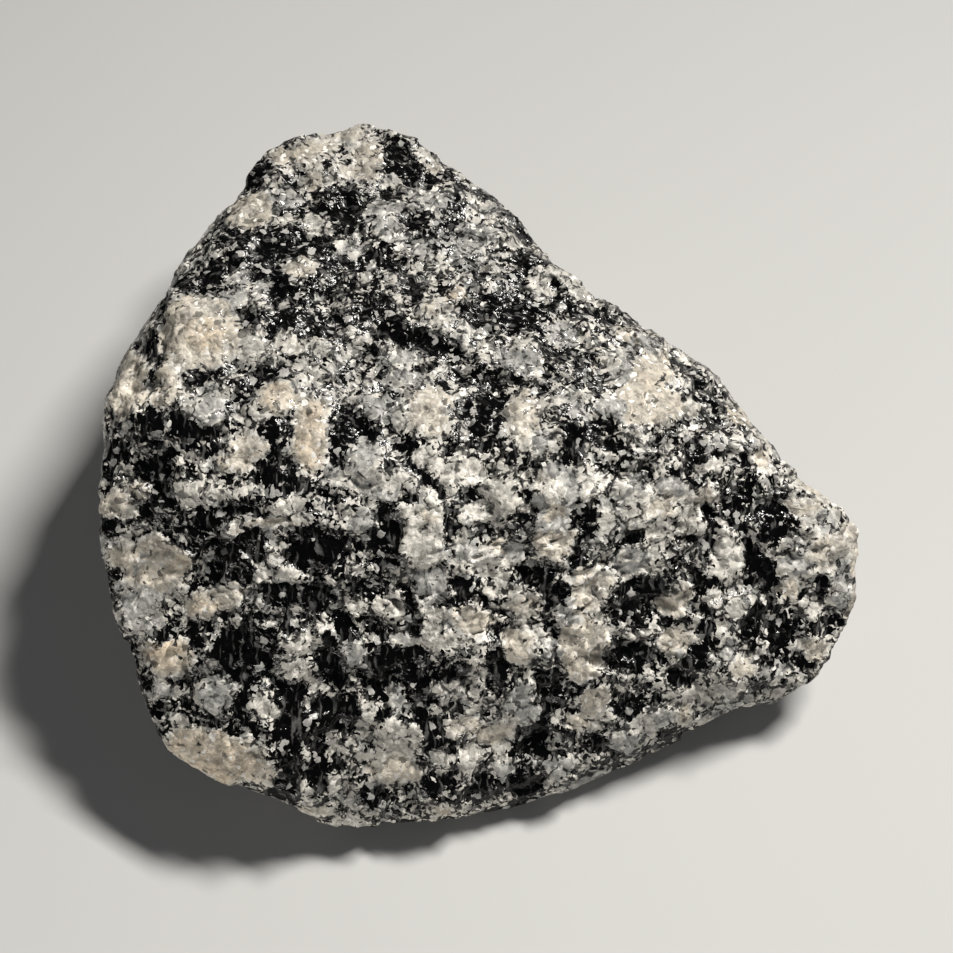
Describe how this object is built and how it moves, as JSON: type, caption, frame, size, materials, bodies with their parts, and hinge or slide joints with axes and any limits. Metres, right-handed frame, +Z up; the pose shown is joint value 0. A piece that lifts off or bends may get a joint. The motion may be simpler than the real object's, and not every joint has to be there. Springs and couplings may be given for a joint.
{
  "type": "granodiorite rock",
  "caption": "Hand-sized three-cornered stone of coarse speckled granodiorite, low at the front and thick at one side, that rests on a small flat spot.",
  "frame": {"origin": "on the floor under the middle of the stone's bounding box", "axes": "+X along the stone's long way, to its rounded nose; +Y to its top corner, away from the low sloping edge; +Z up"},
  "size_m": [0.0756, 0.0728, 0.0228],
  "materials": {
    "granodiorite": "rough broken and worn surface, white, tan, grey and black mineral grains"
  },
  "bodies": {
    "root": {"granodiorite_rock": "granodiorite"}
  },
  "joints": []
}
